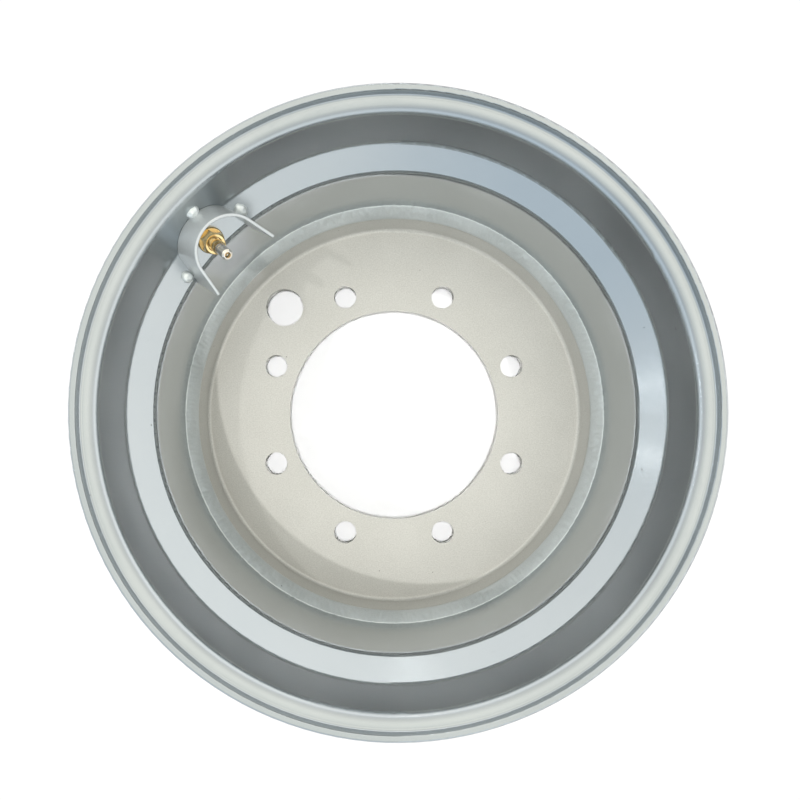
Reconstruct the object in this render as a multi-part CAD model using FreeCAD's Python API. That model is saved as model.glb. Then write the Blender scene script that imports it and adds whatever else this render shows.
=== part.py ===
"""Steel tractor wheel rim: a rolled drop-centre barrel, a dished disc welded into its well,
and a tyre valve under a bent strap guard.

Millimetres. The wheel axis is Z and the valve side faces up. The origin is on the axis, in the
plane of the disc's lower face, which the hub bolts to.
"""

import FreeCAD
import Part
import math
import os

Vector = FreeCAD.Vector

# Rim contour: 19.5 inch bead seat, 14 inch between the flanges
BEAD_DIAMETER = 495.3
FLANGE_HEIGHT = 12.7
RIM_WIDTH = 355.6
BARREL_THICKNESS = 6.0
SEAT_TAPER = math.radians(15)
SEAT_LENGTH = 43.0
WALL_SLOPE = math.radians(45)
WELL_RADIUS = 211.0
LIP_LENGTH = 8.5
LIP_BEND = 2.8
LIP_ROUND = 2.2
LIP_BREAK = 0.8
HEEL_BEND = 11.0
SEAT_BEND = 8.0
WELL_BEND = 8.5

# Disc: dished plate with its edge turned up against the well
DISC_THICKNESS = 12.0
DISC_DEPTH = 225.0
DISC_TURN_UP = 41.0
DISC_EDGE = 10.0
DISC_BEND = 4.0
FIT_GAP = 0.1
HUB_BORE = 225.0
STUD_CIRCLE = 275.0
STUD_COUNT = 8
STUD_HOLE = 24.0
STUD_START = math.radians(22.5)
ACCESS_HOLE = 40.0
ACCESS_RADIUS = 165.5
ACCESS_ANGLE = math.radians(135.5)

# Weld between the disc's turned-up edge and the well
WELD_RISE = 14.5
WELD_CROWN = 1.6

# Valve, square to the sloping wall
VALVE_ANGLE = math.radians(137)
VALVE_DEPTH = 62.3
VALVE_HOLE = 15.7
SHANK_DIAMETER = 11.4
SHANK_BORE = 7.0
SHANK_TOP = 8.6
GROMMET_FLANGE = 23.0
GROMMET_THICKNESS = 3.2
HEAD_THICKNESS = 3.5
WASHER_DIAMETER = 23.5
WASHER_THICKNESS = 2.0
NUT_FLATS = 18.5
NUT_TOP = 11.4
NUT_CHAMFER = 1.6
COLLAR_DIAMETER = 11.6
COLLAR_BASE = 14.0
COLLAR_TOP = 21.5
MOUTH_DIAMETER = 9.6
MOUTH_TOP = 40.0
MOUTH_BORE = 5.4
NECK_DIAMETER = 7.6
GROOVE_DIAMETER = 8.2
CORE_BORE = 4.2
CORE_TOP = 36.0
CORE_LENGTH = 15.0
PIN_DIAMETER = 1.7
PIN_TOP = 39.3
PIN_CLEARANCE = 0.08
PIN_TAIL = 5.0
SLIP = 0.05

# Guard strap round the valve, seen along the valve axis
GUARD_RADIUS = 27.7
GUARD_THICKNESS = 2.6
GUARD_BREAK = 0.7
GUARD_HEIGHT = 39.5
GUARD_APEX = 29.2
GUARD_REACH = 49.2
GUARD_SPLAY = math.radians(11.5)
GUARD_LEAN = math.radians(6.6)
GUARD_GAP = 0.3
GUARD_DEPTH = 60.0
TACK_RADIUS = 5.6
TACK_PLACES = ((-34.0, 6.0, 10.0), (0.5, 36.5, 1.5), (6.5, -37.5, 1.5))

# Places that follow from the dimensions above
FLANGE_RADIUS = BEAD_DIAMETER / 2 + FLANGE_HEIGHT
FLANGE_FACE = LIP_LENGTH + BARREL_THICKNESS
TOTAL_WIDTH = RIM_WIDTH + 2 * FLANGE_FACE
HUB_DEPTH = DISC_DEPTH + DISC_THICKNESS
SEAT_HEEL = (BEAD_DIAMETER / 2 - BARREL_THICKNESS / math.cos(SEAT_TAPER)
             + BARREL_THICKNESS * math.tan(SEAT_TAPER))
SEAT_END_RADIUS = SEAT_HEEL - SEAT_LENGTH * math.tan(SEAT_TAPER)
SEAT_END_DEPTH = LIP_LENGTH + SEAT_LENGTH
WELL_START = SEAT_END_DEPTH + (SEAT_END_RADIUS - WELL_RADIUS) / math.tan(WALL_SLOPE)
DISC_OUTSIDE = WELL_RADIUS - FIT_GAP
DISC_EDGE_RADIUS = DISC_OUTSIDE - DISC_EDGE
VALVE_RADIUS = SEAT_END_RADIUS - (VALVE_DEPTH - SEAT_END_DEPTH) * math.tan(WALL_SLOPE)
AXIS = Vector(0, 0, 1)
CENTRE = Vector(0, 0, 0)


def at(radius, depth):
    """Section point at a radius and a depth below the upper lip."""
    return Vector(radius, 0, HUB_DEPTH - depth)


def rounded_path(corners):
    """Lines through (point, bend radius) corners, joined by tangent arcs."""
    edges = []
    start = corners[0][0]
    for (before, _), (corner, radius), (after, _) in zip(corners, corners[1:], corners[2:]):
        back = (before - corner).normalize()
        ahead = (after - corner).normalize()
        half = back.getAngle(ahead) / 2
        first = corner + back * (radius / math.tan(half))
        last = corner + ahead * (radius / math.tan(half))
        middle = corner + (back + ahead).normalize() * (radius / math.sin(half) - radius)
        edges.append(Part.LineSegment(start, first).toShape())
        edges.append(Part.Arc(first, middle, last).toShape())
        start = last
    edges.append(Part.LineSegment(start, corners[-1][0]).toShape())
    return Part.Wire(edges)


def thicken(path, thickness):
    """Strip of sheet between a path and its parallel; the sign picks the side."""
    return path.makeOffset2D(thickness, fill=True, openResult=True)


def turned(*outline):
    """Solid of revolution about Z through (radius, height) points."""
    points = [Vector(radius, 0, height) for radius, height in outline]
    face = Part.Face(Part.makePolygon(points + points[:1]))
    return face.revolve(CENTRE, AXIS, 360)


def solid_of(shape):
    """The single solid of a result that may be wrapped in a compound."""
    solids = shape.removeSplitter().Solids
    if len(solids) != 1:
        raise ValueError(f"expected one solid, found {len(solids)}")
    return solids[0]


def round_hole(radius, angle, diameter):
    """Cutter for a hole through the disc."""
    place = Vector(radius * math.cos(angle), radius * math.sin(angle), -DISC_THICKNESS)
    return Part.makeCylinder(diameter / 2, 3 * DISC_THICKNESS, place, AXIS)


def barrel_path():
    """Inner surface of the barrel's section, from the upper lip to the lower one."""
    upper = [
        (FLANGE_RADIUS - BARREL_THICKNESS, 0, 0),
        (FLANGE_RADIUS - BARREL_THICKNESS, LIP_LENGTH, LIP_BEND),
        (SEAT_HEEL, LIP_LENGTH, HEEL_BEND),
        (SEAT_END_RADIUS, SEAT_END_DEPTH, SEAT_BEND),
        (WELL_RADIUS, WELL_START, WELL_BEND),
    ]
    lower = [(radius, TOTAL_WIDTH - depth, bend) for radius, depth, bend in reversed(upper)]
    return rounded_path([(at(radius, depth), bend) for radius, depth, bend in upper + lower])


def valve_place():
    """Placement whose Z is the valve axis, X runs down the wall and Y runs round the rim."""
    outward = Vector(math.cos(VALVE_ANGLE), math.sin(VALVE_ANGLE), 0)
    normal = outward * -math.sin(WALL_SLOPE) + AXIS * math.cos(WALL_SLOPE)
    down = outward * -math.cos(WALL_SLOPE) - AXIS * math.sin(WALL_SLOPE)
    base = outward * VALVE_RADIUS + AXIS * (HUB_DEPTH - VALVE_DEPTH)
    return FreeCAD.Placement(base, FreeCAD.Rotation(down, normal.cross(down), normal))


def on_valve(shape):
    """The shape moved from the valve's own frame to the wheel's."""
    moved = shape.copy()
    moved.Placement = valve_place().multiply(moved.Placement)
    return moved


def rings_at(shape, radius):
    """The round edges of one radius in the planes of the two lips."""
    lips = (at(0, 0).z, at(0, TOTAL_WIDTH).z)
    rings = []
    for edge in shape.Edges:
        box = edge.BoundBox
        flat = box.ZLength < SLIP and min(abs(box.ZMin - lip) for lip in lips) < SLIP
        if flat and abs(edge.Curve.Radius - radius) < SLIP:
            rings.append(edge)
    return rings


def rim_barrel():
    """Rolled barrel with both flanges, both bead seats, the well and the valve hole."""
    barrel = thicken(barrel_path(), BARREL_THICKNESS).revolve(CENTRE, AXIS, 360)
    barrel = barrel.makeFillet(LIP_ROUND, rings_at(barrel, FLANGE_RADIUS))
    barrel = barrel.makeFillet(LIP_BREAK, rings_at(barrel, FLANGE_RADIUS - BARREL_THICKNESS))
    drill = Part.makeCylinder(VALVE_HOLE / 2, 4 * BARREL_THICKNESS, Vector(0, 0, -3 * BARREL_THICKNESS))
    return solid_of(barrel.cut(on_valve(drill)))


def beyond_barrel(gap):
    """Everything outside the barrel's inner surface, less a gap, for trimming what sits on it."""
    inner = barrel_path().makeOffset2D(-gap, openResult=True)
    first, last = inner.OrderedVertexes[0].Point, inner.OrderedVertexes[-1].Point
    reach = 2 * FLANGE_RADIUS
    rest = Part.makePolygon([last, Vector(reach, 0, last.z), Vector(reach, 0, first.z), first])
    return Part.Face(Part.Wire(inner.OrderedEdges + rest.Edges)).revolve(CENTRE, AXIS, 360)


def wheel_disc():
    """Dished disc with the hub bore, the stud holes and the valve access hole."""
    section = rounded_path([
        (at(HUB_BORE / 2, DISC_DEPTH), 0),
        (at(DISC_EDGE_RADIUS, DISC_DEPTH), DISC_BEND),
        (at(DISC_EDGE_RADIUS, DISC_DEPTH - DISC_TURN_UP), 0),
    ])
    disc = thicken(section, -DISC_THICKNESS).revolve(CENTRE, AXIS, 360)
    disc = disc.common(Part.makeCylinder(DISC_OUTSIDE, TOTAL_WIDTH, Vector(0, 0, -DISC_THICKNESS), AXIS))
    holes = [round_hole(ACCESS_RADIUS, ACCESS_ANGLE, ACCESS_HOLE)]
    for index in range(STUD_COUNT):
        angle = STUD_START + index * 2 * math.pi / STUD_COUNT
        holes.append(round_hole(STUD_CIRCLE / 2, angle, STUD_HOLE))
    return solid_of(disc.cut(holes))


def disc_weld():
    """Crowned fillet weld that covers the disc's edge and climbs the well."""
    edge_depth = DISC_DEPTH - DISC_TURN_UP
    toe = at(DISC_EDGE_RADIUS, edge_depth)
    corner = at(WELL_RADIUS, edge_depth)
    top = at(WELL_RADIUS, edge_depth - WELD_RISE)
    bulge = (toe - corner + top - corner).normalize() * WELD_CROWN
    face = Part.Wire([
        Part.LineSegment(toe, corner).toShape(),
        Part.LineSegment(corner, top).toShape(),
        Part.Arc(top, (toe + top) / 2 + bulge, toe).toShape(),
    ])
    return Part.Face(face).revolve(CENTRE, AXIS, 360)


def valve_spud():
    """Threaded brass shank with its head on the tyre side."""
    under = -BARREL_THICKNESS - GROMMET_THICKNESS
    return on_valve(turned(
        (SHANK_BORE / 2, under - HEAD_THICKNESS),
        (GROMMET_FLANGE / 2, under - HEAD_THICKNESS),
        (GROMMET_FLANGE / 2, under),
        (SHANK_DIAMETER / 2, under),
        (SHANK_DIAMETER / 2, SHANK_TOP),
        (SHANK_BORE / 2, SHANK_TOP),
    ))


def valve_grommet(barrel):
    """Rubber seal between the head and the barrel, with a sleeve in the hole."""
    inside = SHANK_DIAMETER / 2 + SLIP
    sleeve = VALVE_HOLE / 2 - SLIP
    seal = on_valve(turned(
        (inside, -BARREL_THICKNESS - GROMMET_THICKNESS),
        (GROMMET_FLANGE / 2, -BARREL_THICKNESS - GROMMET_THICKNESS),
        (GROMMET_FLANGE / 2, -BARREL_THICKNESS - SLIP),
        (sleeve, -BARREL_THICKNESS - SLIP),
        (sleeve, -SLIP),
        (inside, -SLIP),
    ))
    return solid_of(seal.cut(barrel))


def valve_washer():
    """Brass washer under the nut."""
    inside = SHANK_DIAMETER / 2 + SLIP
    edge = WASHER_DIAMETER / 2
    washer = on_valve(turned(
        (inside, 0),
        (edge, 0),
        (edge, 0.6 * WASHER_THICKNESS),
        (edge - 0.4 * WASHER_THICKNESS, WASHER_THICKNESS),
        (inside, WASHER_THICKNESS),
    ))
    return solid_of(washer.cut(beyond_barrel(SLIP)))


def valve_nut():
    """Hexagon nut, chamfered on top and dished round the shank."""
    inside = SHANK_DIAMETER / 2 + SLIP
    corner = NUT_FLATS / 2 / math.cos(math.pi / 6)
    base = WASHER_THICKNESS
    points = []
    for index in range(6):
        angle = (index + 0.5) * math.pi / 3
        points.append(Vector(corner * math.cos(angle), corner * math.sin(angle), base))
    hexagon = Part.Face(Part.makePolygon(points + points[:1])).extrude(Vector(0, 0, NUT_TOP - base))
    envelope = turned(
        (inside, base),
        (corner, base),
        (corner, NUT_TOP - NUT_CHAMFER),
        (NUT_FLATS / 2 - NUT_CHAMFER / 2, NUT_TOP),
        (inside + NUT_CHAMFER / 2, NUT_TOP),
        (inside, NUT_TOP - NUT_CHAMFER),
    )
    return on_valve(solid_of(hexagon.common(envelope)))


def valve_core_housing():
    """Plated stem screwed into the shank, with the grooved mouth that takes an air chuck."""
    bore = CORE_BORE / 2
    mouth = MOUTH_DIAMETER / 2
    ring_base = COLLAR_TOP + 2.0
    ring_top = ring_base + 2.6
    head_base = ring_top + 1.8
    edge = 1.4
    return on_valve(turned(
        (bore, 0),
        (SHANK_BORE / 2 - SLIP, 0),
        (SHANK_BORE / 2 - SLIP, SHANK_TOP),
        (NECK_DIAMETER / 2, SHANK_TOP),
        (NECK_DIAMETER / 2, ring_base),
        (mouth, ring_base),
        (mouth, ring_top),
        (GROOVE_DIAMETER / 2, ring_top),
        (GROOVE_DIAMETER / 2, head_base),
        (mouth, head_base),
        (mouth, MOUTH_TOP - edge),
        (mouth - edge, MOUTH_TOP),
        (MOUTH_BORE / 2, MOUTH_TOP),
        (MOUTH_BORE / 2, CORE_TOP - 1),
        (bore, CORE_TOP - 3),
    ))


def valve_collar():
    """Brass collar on the neck of the core housing."""
    inside = NECK_DIAMETER / 2 + SLIP
    edge = COLLAR_DIAMETER / 2
    round_off = 1.0
    return on_valve(turned(
        (inside, COLLAR_BASE),
        (edge - round_off, COLLAR_BASE),
        (edge, COLLAR_BASE + round_off),
        (edge, COLLAR_TOP - round_off),
        (edge - round_off, COLLAR_TOP),
        (inside, COLLAR_TOP),
    ))


def valve_core():
    """Core barrel inside the housing, bored for the pin."""
    bore = PIN_DIAMETER / 2 + PIN_CLEARANCE
    body = CORE_BORE / 2 - SLIP
    return on_valve(turned(
        (bore, CORE_TOP - CORE_LENGTH),
        (body, CORE_TOP - CORE_LENGTH),
        (body, CORE_TOP),
        (bore, CORE_TOP),
    ))


def valve_core_pin():
    """Sprung pin that an air chuck pushes in."""
    length = PIN_TOP - CORE_TOP + CORE_LENGTH + PIN_TAIL
    pin = Part.makeCylinder(PIN_DIAMETER / 2, length, Vector(0, 0, PIN_TOP - length))
    tip = [edge for edge in pin.Edges if edge.BoundBox.ZMin > PIN_TOP - SLIP]
    return on_valve(pin.makeFillet(PIN_DIAMETER / 4, tip))


def guard_blank():
    """The strap's U, swept along its lean and still running on into the barrel."""
    swing = math.pi / 2 - GUARD_SPLAY
    lean = Vector(0, math.tan(GUARD_LEAN), 1)

    def on_arc(angle):
        down = GUARD_RADIUS - GUARD_APEX - GUARD_RADIUS * math.cos(angle)
        return Vector(down, GUARD_RADIUS * math.sin(angle), 0)

    def leg_end(side):
        bend = on_arc(side * swing)
        down = GUARD_REACH - GUARD_APEX
        return Vector(down, bend.y + side * (down - bend.x) * math.tan(GUARD_SPLAY), 0)

    path = Part.Wire([
        Part.LineSegment(leg_end(-1), on_arc(-swing)).toShape(),
        Part.Arc(on_arc(-swing), on_arc(0), on_arc(swing)).toShape(),
        Part.LineSegment(on_arc(swing), leg_end(1)).toShape(),
    ])
    strap = thicken(path, -GUARD_THICKNESS).extrude(lean * -GUARD_DEPTH)
    front = [edge for edge in strap.Edges if edge.BoundBox.ZMin > -SLIP]
    strap = strap.makeFillet(GUARD_BREAK, front)
    strap.translate(lean * GUARD_HEIGHT)
    return on_valve(strap)


def valve_guard():
    """Bent strap round the valve, trimmed to the barrel that it stands on."""
    return solid_of(guard_blank().cut(beyond_barrel(GUARD_GAP)))


def guard_tack_welds(guard):
    """Three tack welds where the strap meets the barrel."""
    beyond = beyond_barrel(0)
    tacks = []
    for down, around, height in TACK_PLACES:
        ball = on_valve(Part.makeSphere(TACK_RADIUS, Vector(down, around, height)))
        tacks.append(solid_of(ball.cut([beyond, guard])))
    return Part.makeCompound(tacks)


def main():
    os.makedirs("parts", exist_ok=True)
    barrel = rim_barrel()
    guard = valve_guard()
    parts = {
        "rim_barrel": barrel,
        "wheel_disc": wheel_disc(),
        "disc_weld": disc_weld(),
        "valve_guard": guard,
        "guard_tack_welds": guard_tack_welds(guard),
        "valve_spud": valve_spud(),
        "valve_grommet": valve_grommet(barrel),
        "valve_washer": valve_washer(),
        "valve_nut": valve_nut(),
        "valve_core_housing": valve_core_housing(),
        "valve_collar": valve_collar(),
        "valve_core": valve_core(),
        "valve_core_pin": valve_core_pin(),
    }
    for name, shape in parts.items():
        shape.exportStep(f"parts/{name}.step")
        print(f"{name}: {len(shape.Solids)} solid, {shape.Volume:.0f} mm3, valid {shape.isValid()}")


main()
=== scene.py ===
"""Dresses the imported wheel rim: paint, brass, weld ripples, floor, light and camera."""
import math

import bpy
import numpy as np
from mathutils import Matrix, Vector, noise


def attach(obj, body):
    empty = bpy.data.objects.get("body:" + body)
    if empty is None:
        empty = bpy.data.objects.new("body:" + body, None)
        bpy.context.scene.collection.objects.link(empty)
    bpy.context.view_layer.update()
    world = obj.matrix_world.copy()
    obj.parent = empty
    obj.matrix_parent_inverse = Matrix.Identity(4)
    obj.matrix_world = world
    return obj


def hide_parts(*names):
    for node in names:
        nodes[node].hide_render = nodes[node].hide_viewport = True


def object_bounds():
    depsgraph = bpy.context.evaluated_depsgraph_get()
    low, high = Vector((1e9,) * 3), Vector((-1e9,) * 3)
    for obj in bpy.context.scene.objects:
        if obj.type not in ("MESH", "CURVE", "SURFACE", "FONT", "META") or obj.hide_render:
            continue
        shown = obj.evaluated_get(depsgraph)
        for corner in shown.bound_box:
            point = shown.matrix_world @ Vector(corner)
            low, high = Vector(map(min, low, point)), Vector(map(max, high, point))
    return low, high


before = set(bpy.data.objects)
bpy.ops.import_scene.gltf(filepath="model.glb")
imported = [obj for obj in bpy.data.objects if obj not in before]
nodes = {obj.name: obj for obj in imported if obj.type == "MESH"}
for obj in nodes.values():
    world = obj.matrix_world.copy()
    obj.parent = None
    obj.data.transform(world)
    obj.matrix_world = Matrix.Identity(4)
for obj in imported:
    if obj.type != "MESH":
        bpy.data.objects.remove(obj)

cad_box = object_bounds()
scene = bpy.context.scene

# Places and sizes shared with the CAD, in metres
WELL_RADIUS = 0.211
DISC_EDGE_RADIUS = 0.2009
WELD_BASE = 0.053
WELD_RISE = 0.0145
WELD_CROWN = 0.0016
VALVE_ANGLE = math.radians(137)
VALVE_RADIUS = 0.22072
VALVE_HEIGHT = 0.1747
SLOPE = math.sqrt(0.5)
TACK_PLACES = ((-0.034, 0.006, 0.010), (0.0005, 0.0365, 0.0015), (0.0065, -0.0375, 0.0015))

# Welds: half sizes of the tack welds and the share of their height that they keep below their place,
# then the steps round the disc weld, the points across it and its ripples
TACK_SIZES = ((0.0050, 0.0062, 0.0056), (0.0066, 0.0056, 0.0048), (0.0058, 0.0056, 0.0056))
TACK_SINK = 0.35
WELD_STEPS = 2400
WELD_COLUMNS = 13
WELD_RIPPLES = 230

# Floor: radii between which the white fades in out of a painted shadow under and round the wheel, the grey,
# the share of white in the open, and the mesh
PAINTED_SHADOW_RADII = (0.28, 0.42)
FLOOR_GREY = 0.50
FLOOR_WHITE = 0.88
FLOOR_STEP = 0.003
FLOOR_RINGS = 150
FLOOR_TURNS = 360
FLOOR_REACH = 12.0

# Lamps: azimuth and angle off the wheel axis in degrees, distance and size in metres, and watts
LAMP_WARM = (1.0, 0.98, 0.95)
LAMP_WHITE = (1.0, 1.0, 1.0)
SHADOW_LAMPS = {"key": (231, 19, 2.4, 0.05, 25.0), "second": (178, 20, 2.4, 0.05, 9.0)}
GLINT_LAMPS = {
    "glint_0": (186, 65.5, 2.6, 0.06, 0.30),
    "glint_1": (170, 65.5, 2.6, 0.06, 0.22),
    "glint_2": (92, 65.5, 2.6, 0.06, 0.18),
}
FLOOR_LAMP = (205, 0.9, 0.86, 0.02, 17.0)

# Room: the way to its brighter side
BRIGHT_SIDE = (0.643, 0.766, 0)

# Camera: straight down the wheel axis, a little to the lower left of it, as in the photograph
CAMERA_PLACE = (-0.0124, -0.0057, 0.836)
CAMERA_SENSOR = 36.0
CAMERA_LENS = 34.3
CAMERA_SHIFT = (0.022, 0.0251)


class Nodes:
    """Short way to add shader nodes and join them up."""

    def __init__(self, tree):
        self.tree = tree
        tree.nodes.clear()

    def add(self, kind, inputs=(), **settings):
        node = self.tree.nodes.new(kind)
        for key, value in settings.items():
            setattr(node, key, value)
        for key, value in dict(inputs).items():
            if isinstance(value, bpy.types.NodeSocket):
                self.tree.links.new(value, node.inputs[key])
            else:
                node.inputs[key].default_value = value
        return node

    def ramp(self, source, *stops):
        node = self.add("ShaderNodeValToRGB", {"Fac": source})
        while len(node.color_ramp.elements) < len(stops):
            node.color_ramp.elements.new(0.5)
        for element, (place, color) in zip(node.color_ramp.elements, stops):
            element.position = place
            element.color = (*color, 1)
        return node.outputs["Color"]

    def mix(self, factor, first, second, blend="MIX"):
        node = self.add("ShaderNodeMix", data_type="RGBA", blend_type=blend)
        for index, value in ((0, factor), (6, first), (7, second)):
            if isinstance(value, bpy.types.NodeSocket):
                self.tree.links.new(value, node.inputs[index])
            else:
                node.inputs[index].default_value = value if index == 0 else (*value, 1)
        return node.outputs[2]

    def math(self, operation, first, second):
        return self.add("ShaderNodeMath", {0: first, 1: second}, operation=operation).outputs[0]

    def noise(self, place, scale, detail):
        settings = {"Vector": place, "Scale": scale, "Detail": detail}
        return self.add("ShaderNodeTexNoise", settings).outputs["Fac"]

    def spread(self, source, low, high):
        """Maps the middle of a noise to a range."""
        settings = {"Value": source, "From Min": 0.3, "From Max": 0.7, "To Min": low, "To Max": high}
        return self.add("ShaderNodeMapRange", settings).outputs["Result"]

    def bump(self, height, strength, distance, normal=None):
        settings = {"Height": height, "Strength": strength, "Distance": distance}
        if normal is not None:
            settings["Normal"] = normal
        return self.add("ShaderNodeBump", settings).outputs["Normal"]


def new_material(name):
    made = bpy.data.materials.new(name)
    made.use_nodes = True
    return made, Nodes(made.node_tree)


def silver_paint(name, dark, light, metallic, roughness,
                 peel=0.03, grain=0.03, dents=0.03, flecks=0.3):
    """Sprayed silver paint: soft clouds of tone, flake grain, orange peel and a few dark specks."""
    made, n = new_material(name)
    place = n.add("ShaderNodeTexCoord").outputs["Object"]
    cloud = n.noise(place, 14.0, 5.0)
    flake = n.noise(place, 760.0, 2.0)
    tone = n.math("ADD", n.math("MULTIPLY", cloud, 1 - flecks), n.math("MULTIPLY", flake, flecks))
    color = n.ramp(tone, (0.36, dark), (0.64, light))
    cell = n.add("ShaderNodeTexVoronoi", {"Vector": place, "Scale": 70.0})
    near = n.math("LESS_THAN", cell.outputs["Distance"], 0.055)
    draw = n.add("ShaderNodeSeparateColor", {"Color": cell.outputs["Color"]}).outputs[0]
    chosen = n.math("GREATER_THAN", draw, 0.86)
    speck = n.math("MULTIPLY", near, chosen)
    color = n.mix(speck, color, tuple(0.5 * c for c in dark))
    rough = n.spread(cloud, roughness - 0.03, roughness + 0.035)
    orange = n.noise(place, 330.0, 1.5)
    low = n.noise(place, 40.0, 2.0)
    bump = n.bump(low, dents, 0.0006)
    bump = n.bump(orange, peel, 0.001, bump)
    bump = n.bump(flake, grain, 0.0006, bump)
    shader = n.add("ShaderNodeBsdfPrincipled", {
        "Base Color": color, "Metallic": metallic, "Roughness": rough, "Normal": bump,
        "Coat Weight": 0.15, "Coat Roughness": 0.12, "Coat Normal": bump,
    })
    n.add("ShaderNodeOutputMaterial", {"Surface": shader.outputs["BSDF"]})
    return made


def plated_metal(name, dark, light, roughness):
    """Bare turned metal: tarnish clouds and fine turning marks."""
    made, n = new_material(name)
    place = n.add("ShaderNodeTexCoord").outputs["Object"]
    cloud = n.noise(place, 260.0, 4.0)
    fine = n.noise(place, 2600.0, 2.0)
    color = n.ramp(cloud, (0.35, dark), (0.65, light))
    rough = n.spread(cloud, roughness - 0.05, roughness + 0.08)
    bump = n.bump(fine, 0.12, 0.0002)
    shader = n.add("ShaderNodeBsdfPrincipled", {
        "Base Color": color, "Metallic": 1.0, "Roughness": rough, "Normal": bump,
    })
    n.add("ShaderNodeOutputMaterial", {"Surface": shader.outputs["BSDF"]})
    return made


def rubber(name):
    """Matt black rubber with a dusty bloom."""
    made, n = new_material(name)
    place = n.add("ShaderNodeTexCoord").outputs["Object"]
    cloud = n.noise(place, 180.0, 4.0)
    color = n.ramp(cloud, (0.3, (0.012, 0.012, 0.012)), (0.7, (0.035, 0.034, 0.033)))
    bump = n.bump(cloud, 0.2, 0.0003)
    shader = n.add("ShaderNodeBsdfPrincipled", {"Base Color": color, "Roughness": 0.75, "Normal": bump})
    n.add("ShaderNodeOutputMaterial", {"Surface": shader.outputs["BSDF"]})
    return made


def dress(node, material):
    """Gives a CAD node its material."""
    mesh = nodes[node].data
    mesh.materials.clear()
    mesh.materials.append(material)


def grid_object(name, rows, closed_rows, closed_columns, material):
    """Smooth mesh over a grid of points, closed round either way."""
    rows = np.asarray(rows, float)
    count, width = rows.shape[:2]
    faces = []
    for i in range(count if closed_rows else count - 1):
        for j in range(width if closed_columns else width - 1):
            a, b = i * width + j, i * width + (j + 1) % width
            c, d = (i + 1) % count * width + (j + 1) % width, (i + 1) % count * width + j
            faces.append((a, b, c, d))
    mesh = bpy.data.meshes.new(name)
    mesh.from_pydata(rows.reshape(-1, 3).tolist(), [], faces)
    mesh.polygons.foreach_set("use_smooth", [True] * len(faces))
    mesh.materials.append(material)
    mesh.update()
    made = bpy.data.objects.new(name, mesh)
    scene.collection.objects.link(made)
    return made


def rippled_weld(material):
    """The disc weld with faint ripples, wandering toes and an uneven crown."""
    steps, across = WELD_STEPS, WELD_COLUMNS
    toe = Vector((DISC_EDGE_RADIUS, WELD_BASE))
    top = Vector((WELL_RADIUS, WELD_BASE + WELD_RISE))
    corner = Vector((WELL_RADIUS, WELD_BASE))
    outward = (toe + top - 2 * corner).normalized()
    rows = []
    for i in range(steps):
        angle = 2 * math.pi * i / steps
        unit = Vector((math.cos(angle), math.sin(angle)))
        slow = noise.noise(Vector((unit.x * 6, unit.y * 6, 0.3)))
        quick = noise.noise(Vector((unit.x * 34, unit.y * 34, 4.1)))
        bead = noise.noise(Vector((unit.x * 75, unit.y * 75, 8.6)))
        rise = 0.0010 * quick + 0.0007 * bead
        strength = 0.00013 * (0.5 + max(0.0, quick + 0.3 * slow))
        row = []
        for j in range(across):
            v = j / (across - 1)
            flat = toe.lerp(top + Vector((0, rise)), v)
            arch = 4 * v * (1 - v)
            phase = 2 * math.pi * WELD_RIPPLES * i / steps - 3.0 * arch + 2.6 * slow + 1.6 * quick
            patch = noise.noise(Vector((unit.x * 60, unit.y * 60, 2.5 * v)))
            lift = arch * (WELD_CROWN * (0.32 + 0.20 * slow) + strength * math.sin(phase) + 0.00055 * patch)
            spot = flat + outward * lift
            row.append((spot.x * unit.x, spot.x * unit.y, spot.y))
        row.append((corner.x * unit.x, corner.x * unit.y, corner.y))
        rows.append(row)
    return grid_object("disc_weld_bead", rows, True, True, material)


def valve_matrix():
    """The valve's own frame: Z along its axis, X down the wall, Y round the rim."""
    out = Vector((math.cos(VALVE_ANGLE), math.sin(VALVE_ANGLE), 0))
    up = Vector((0, 0, 1))
    normal = (up - out) * SLOPE
    down = (up + out) * -SLOPE
    side = normal.cross(down)
    base = out * VALVE_RADIUS + up * VALVE_HEIGHT
    return Matrix.Translation(base) @ Matrix((down, side, normal)).transposed().to_4x4()


def tack_lumps(material):
    """The three tack welds as lumpy beads with a few pores."""
    place = valve_matrix()
    points, faces = [], []
    rings, segments = 18, 32
    for k, (spot, size) in enumerate(zip(TACK_PLACES, TACK_SIZES)):
        start = len(points)
        for i in range(rings + 1):
            polar = math.pi * i / rings
            for j in range(segments):
                turn = 2 * math.pi * j / segments
                girth = math.sin(polar)
                unit = Vector((girth * math.cos(turn), girth * math.sin(turn), math.cos(polar)))
                lump = 1 + 0.13 * noise.noise(unit * 1.9 + Vector((7.3 * k, 0, 0)))
                lump += 0.05 * noise.noise(unit * 5.5 + Vector((0, 3.1 * k, 0)))
                pore = noise.noise(unit * 8.0 + Vector((0, 0, 5.7 * k)))
                lump -= 0.10 * max(0.0, pore - 0.35) / 0.65
                reach = Vector([lump * u * s for u, s in zip(unit, size)])
                reach.z *= 1.0 if unit.z > 0 else TACK_SINK
                points.append(place @ (Vector(spot) + reach))
        for i in range(rings):
            for j in range(segments):
                a, b = start + i * segments + j, start + i * segments + (j + 1) % segments
                faces.append((a, a + segments, b + segments, b))
    mesh = bpy.data.meshes.new("tack_weld_lumps")
    mesh.from_pydata([tuple(p) for p in points], [], faces)
    mesh.polygons.foreach_set("use_smooth", [True] * len(faces))
    mesh.materials.append(material)
    mesh.update()
    made = bpy.data.objects.new("tack_weld_lumps", mesh)
    scene.collection.objects.link(made)
    return made


def smooth(value, start, end):
    """0 up to the start, 1 from the end on, smooth between."""
    share = min(1.0, max(0.0, (value - start) / (end - start)))
    return share * share * (3 - 2 * share)


def painted_shadow_white_share(x, y):
    """Share of the floor's white at a place: all of it in the open, none under and round the wheel, which
    is a painted shadow over the real shadow on the grey floor.
    """
    return smooth(math.hypot(x, y), PAINTED_SHADOW_RADII[0], PAINTED_SHADOW_RADII[1])


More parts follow.
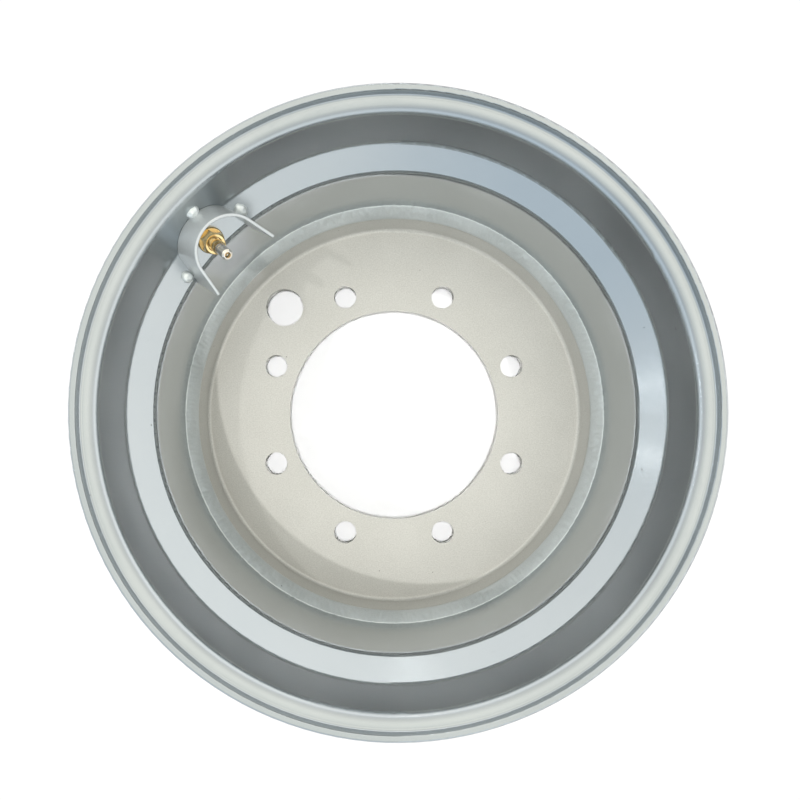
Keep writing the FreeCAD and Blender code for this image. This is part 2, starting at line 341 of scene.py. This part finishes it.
def lamp(name, azimuth, off_axis, distance, size, power, color):
    """Square soft lamp aimed at the middle of the disc."""
    data = bpy.data.lights.new(name, "AREA")
    data.size = size
    data.energy = power
    data.color = color
    made = bpy.data.objects.new(name, data)
    turn, lean = math.radians(azimuth), math.radians(off_axis)
    toward = Vector((math.cos(turn) * math.sin(lean), math.sin(turn) * math.sin(lean), math.cos(lean)))
    made.location = toward * distance
    made.rotation_euler = toward.to_track_quat("Z", "Y").to_euler()
    made.visible_camera = False
    scene.collection.objects.link(made)
    return made


# Materials. The roughness of each paint stays on one side of about 0.27, because the denoiser leaves
# marks where a texture crosses it
barrel_paint = silver_paint("barrel_paint", (0.404, 0.437, 0.454), (0.441, 0.474, 0.491), 0.92, 0.225,
                            grain=0.02, flecks=0.2)
# The disc's base is lighter and warmer than the barrel's on the same silver paint: a painted warm
# reflection of the light overhead
disc_paint = silver_paint("disc_paint", (0.495, 0.495, 0.470), (0.605, 0.605, 0.578), 0.36, 0.48,
                          grain=0.07, flecks=0.65)
weld_paint = silver_paint("weld_paint", (0.62, 0.665, 0.67), (0.75, 0.795, 0.80), 0.55, 0.34,
                          peel=0.08, dents=0.1)
guard_paint = silver_paint("guard_paint", (0.50, 0.53, 0.54), (0.58, 0.61, 0.62), 0.6, 0.32)
brass = plated_metal("valve_brass", (0.72, 0.53, 0.25), (0.88, 0.69, 0.38), 0.15)
nickel = plated_metal("valve_nickel", (0.66, 0.61, 0.54), (0.80, 0.76, 0.70), 0.18)
black_rubber = rubber("valve_rubber")

dress("rim_barrel", barrel_paint)
dress("wheel_disc", disc_paint)
dress("disc_weld", weld_paint)
dress("valve_guard", guard_paint)
dress("guard_tack_welds", weld_paint)
for brass_node in ("valve_spud", "valve_washer", "valve_nut", "valve_collar", "valve_core"):
    dress(brass_node, brass)
dress("valve_core_housing", nickel)
dress("valve_core_pin", nickel)
dress("valve_grommet", black_rubber)

weld = rippled_weld(weld_paint)
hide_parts("disc_weld")
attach(weld, "wheel")

tacks = tack_lumps(weld_paint)
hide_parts("guard_tack_welds")
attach(tacks, "wheel")

# Floor: white to the camera and to reflections in the open; under and round the wheel the white is held
# back, a painted shadow over the real shadow that the grey floor takes there
floor_z = cad_box[0][2]
radii = [FLOOR_STEP / 2 + FLOOR_STEP * i for i in range(FLOOR_RINGS)] + [FLOOR_REACH]
turns = [2 * math.pi * j / FLOOR_TURNS for j in range(FLOOR_TURNS)]
ground = [[(r * math.cos(a), r * math.sin(a), floor_z) for a in turns] for r in radii]
floor_material, n = new_material("floor_white")
floor = grid_object("floor", ground, False, True, floor_material)
# The attribute holds the share of white: none under and round the wheel, where it paints a shadow
white_share_painted_shadow = floor.data.attributes.new("white_share_painted_shadow", "FLOAT", "POINT")
white_share_painted_shadow.data.foreach_set("value", [painted_shadow_white_share(x, y) for row in ground for x, y, z in row])
path = n.add("ShaderNodeLightPath")
seen = n.math("ADD", path.outputs["Is Camera Ray"], path.outputs["Is Glossy Ray"])
seen = n.math("ADD", seen, path.outputs["Is Transmission Ray"])
glow = n.add("ShaderNodeEmission", {"Color": (1, 1, 1, 1), "Strength": 1.0}).outputs["Emission"]
plain = n.add("ShaderNodeBsdfDiffuse", {"Color": (FLOOR_GREY, FLOOR_GREY, FLOOR_GREY, 1)}).outputs["BSDF"]
painted_shadow_white_fac = n.add("ShaderNodeAttribute", attribute_name="white_share_painted_shadow").outputs["Fac"]
# Where the share is low the floor shows only its grey: a painted shadow, with the real shadow on top
share = n.math("MULTIPLY", n.math("MULTIPLY", seen, FLOOR_WHITE), painted_shadow_white_fac)
mixed = n.add("ShaderNodeMixShader", {"Fac": share, 1: plain, 2: glow}).outputs["Shader"]
n.add("ShaderNodeOutputMaterial", {"Surface": mixed})

# Light: a pale room, brightest overhead, two lamps from the lower left that cast the barrel's shadow on the
# disc, three faint ones that glint on the wall, and one for the floor alone, which shines through the holes
world = bpy.data.worlds.new("studio")
scene.world = world
world.use_nodes = True
n = Nodes(world.node_tree)
direction = n.add("ShaderNodeTexCoord").outputs["Generated"]
height = n.add("ShaderNodeSeparateXYZ", {"Vector": direction}).outputs["Z"]
sky = n.ramp(height, (0.0, (1.34, 1.33, 1.31)), (0.12, (1.56, 1.55, 1.52)), (0.36, (1.56, 1.55, 1.52)),
             (0.52, (0.95, 0.95, 0.93)), (0.78, (1.20, 1.17, 1.09)), (1.0, (1.62, 1.57, 1.43)))
side = n.add("ShaderNodeVectorMath", {0: direction, 1: BRIGHT_SIDE}, operation="DOT_PRODUCT")
side = n.add("ShaderNodeMapRange", {"Value": side.outputs["Value"], "From Min": -1.0}).outputs["Result"]
tint = n.ramp(side, (0.0, (0.56, 0.66, 0.76)), (0.22, (0.84, 0.88, 0.91)),
              (0.5, (0.97, 0.98, 0.98)), (1.0, (1.12, 1.12, 1.11)))
room = n.mix(1.0, sky, tint, "MULTIPLY")
background = n.add("ShaderNodeBackground", {"Color": room, "Strength": 1.0}).outputs["Background"]
n.add("ShaderNodeOutputWorld", {"Surface": background})

for lamp_name, values in SHADOW_LAMPS.items():
    lamp(lamp_name, *values, LAMP_WARM).visible_glossy = False
for lamp_name, values in GLINT_LAMPS.items():
    lamp(lamp_name, *values, LAMP_WHITE)
floor_lamp = lamp("floor_lamp", *FLOOR_LAMP, LAMP_WHITE)
lit_floor = bpy.data.collections.new("lit_floor")
lit_floor.objects.link(floor)
floor_lamp.light_linking.receiver_collection = lit_floor
floor_lamp.visible_glossy = False

camera_data = bpy.data.cameras.new("camera")
camera_data.sensor_width = CAMERA_SENSOR
camera_data.lens = CAMERA_LENS
camera_data.shift_x, camera_data.shift_y = CAMERA_SHIFT
camera = bpy.data.objects.new("camera", camera_data)
camera.location = CAMERA_PLACE
scene.collection.objects.link(camera)
scene.camera = camera
scene.view_settings.view_transform = "Standard"
